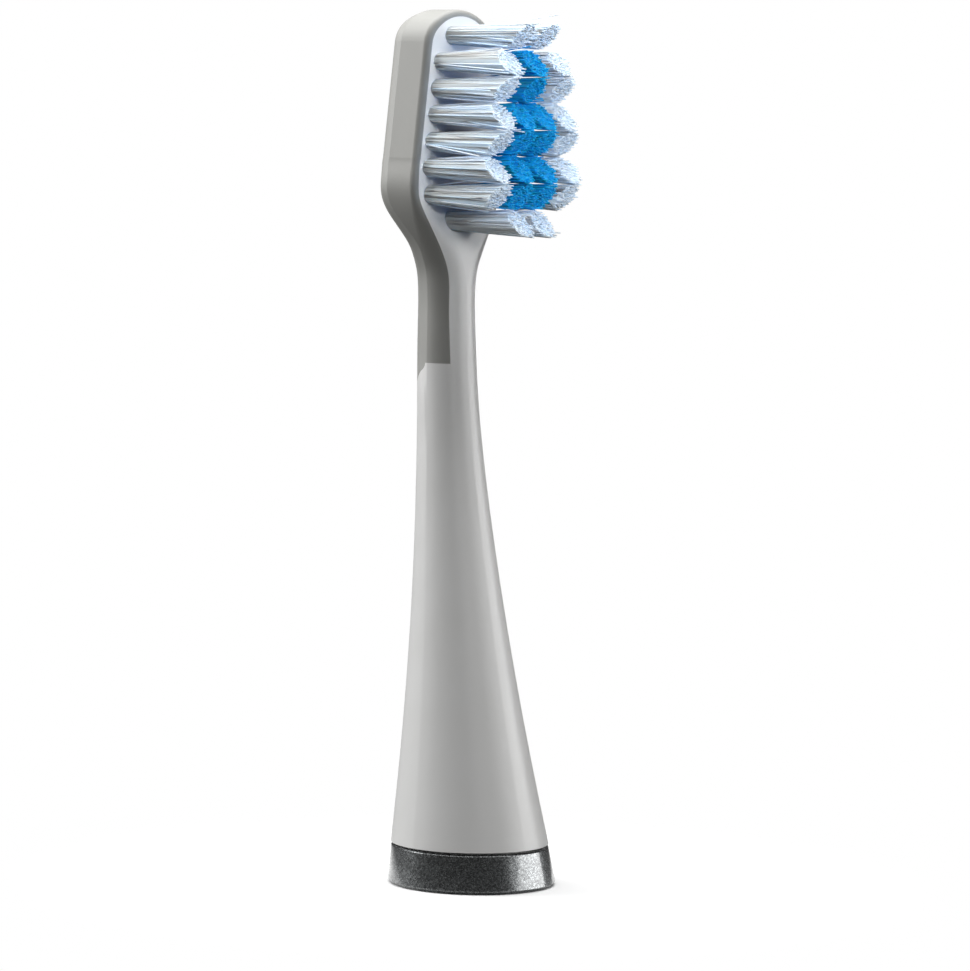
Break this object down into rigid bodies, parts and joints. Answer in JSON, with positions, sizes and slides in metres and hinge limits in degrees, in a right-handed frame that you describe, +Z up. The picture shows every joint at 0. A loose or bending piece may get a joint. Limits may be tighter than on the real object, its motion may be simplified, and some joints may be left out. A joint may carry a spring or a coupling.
{
  "type": "electric toothbrush head",
  "caption": "Push-on electric toothbrush head: hollow foot with a colour ring, leaning flared neck, soft overmoulded back and a plate of nylon tufts trimmed in a zigzag.",
  "frame": {"origin": "centre of the foot's underside, on the axis of the drive shaft", "axes": "+Z up the drive shaft's axis towards the head, -Y the way the bristles point, X across the head"},
  "size_m": [0.0158, 0.0173, 0.0825],
  "materials": {
    "white_plastic": "satin",
    "soft_grey": "satin",
    "ring_finish": "satin",
    "socket_plastic": "matte",
    "spring_steel": "satin",
    "anchor_metal": "satin",
    "white_nylon": "gloss",
    "blue_nylon": "gloss"
  },
  "bodies": {
    "root": {"neck_body": "white_plastic", "soft_back": "soft_grey", "base_ring": "ring_finish", "drive_socket": "socket_plastic", "shaft_clip": "spring_steel", "tuft_anchors": "anchor_metal", "tuft_1_1": "white_nylon", "tuft_1_2": "white_nylon", "tuft_2_1": "white_nylon", "tuft_2_2": "blue_nylon", "tuft_2_3": "white_nylon", "tuft_3_1": "white_nylon", "tuft_3_2": "blue_nylon", "tuft_3_3": "white_nylon", "tuft_4_1": "white_nylon", "tuft_4_2": "blue_nylon", "tuft_4_3": "blue_nylon", "tuft_4_4": "white_nylon", "tuft_5_1": "white_nylon", "tuft_5_2": "blue_nylon", "tuft_5_3": "blue_nylon", "tuft_5_4": "white_nylon", "tuft_6_1": "white_nylon", "tuft_6_2": "blue_nylon", "tuft_6_3": "blue_nylon", "tuft_6_4": "white_nylon", "tuft_7_1": "white_nylon", "tuft_7_2": "blue_nylon", "tuft_7_3": "blue_nylon", "tuft_7_4": "white_nylon", "tuft_8_1": "white_nylon", "tuft_8_2": "white_nylon"}
  },
  "joints": []
}
